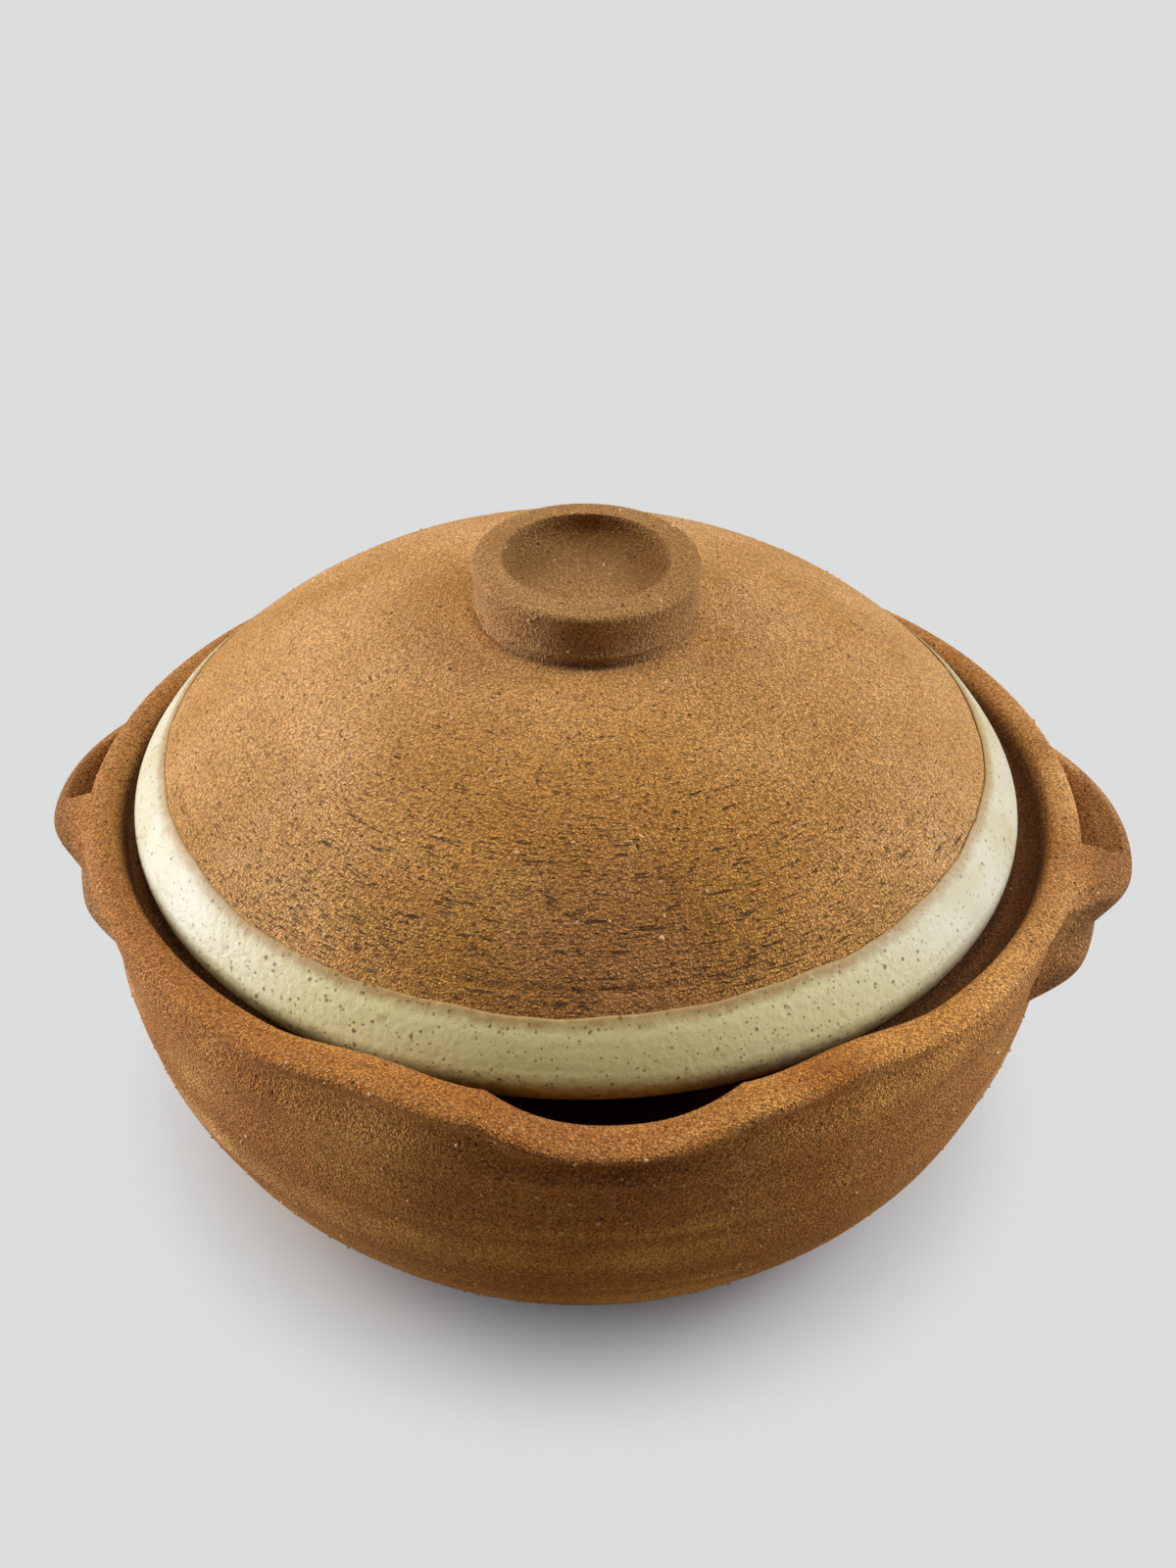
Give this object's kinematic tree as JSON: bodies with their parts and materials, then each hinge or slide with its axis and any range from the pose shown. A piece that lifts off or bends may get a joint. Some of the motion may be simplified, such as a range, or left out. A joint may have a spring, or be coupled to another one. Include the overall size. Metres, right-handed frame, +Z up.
{
  "type": "donabe clay pot",
  "caption": "Round thrown clay cooking pot with a flared rim, pouring lip and strap handles, and a domed lid with a ring knob and glazed edge that lifts off its inner ledge.",
  "frame": {"origin": "middle of the pot's flat base, on the surface it stands on", "axes": "+Z up along the pot's turning axis, +X towards the right handle, -Y towards the pouring lip"},
  "size_m": [0.2889, 0.2666, 0.1756],
  "materials": {
    "pot_clay": "unglazed coarse clay, matte",
    "lid_clay": "unglazed coarse clay, matte",
    "handle_clay": "unglazed clay smoothed by hand, matte",
    "cream_glaze": "satin cream glaze"
  },
  "bodies": {
    "pot": {"pot_bowl": "pot_clay", "pot_lining": "cream_glaze", "left_handle": "handle_clay", "right_handle": "handle_clay"},
    "lid": {"lid_dome": "lid_clay", "lid_knob": "lid_clay", "lid_glaze_band": "cream_glaze", "lid_lining": "cream_glaze"}
  },
  "joints": [
    {"name": "lid_lift", "type": "slide", "parent": "pot", "child": "lid", "axis": [0, 0, 1], "range_m": [0, 0.15]}
  ]
}
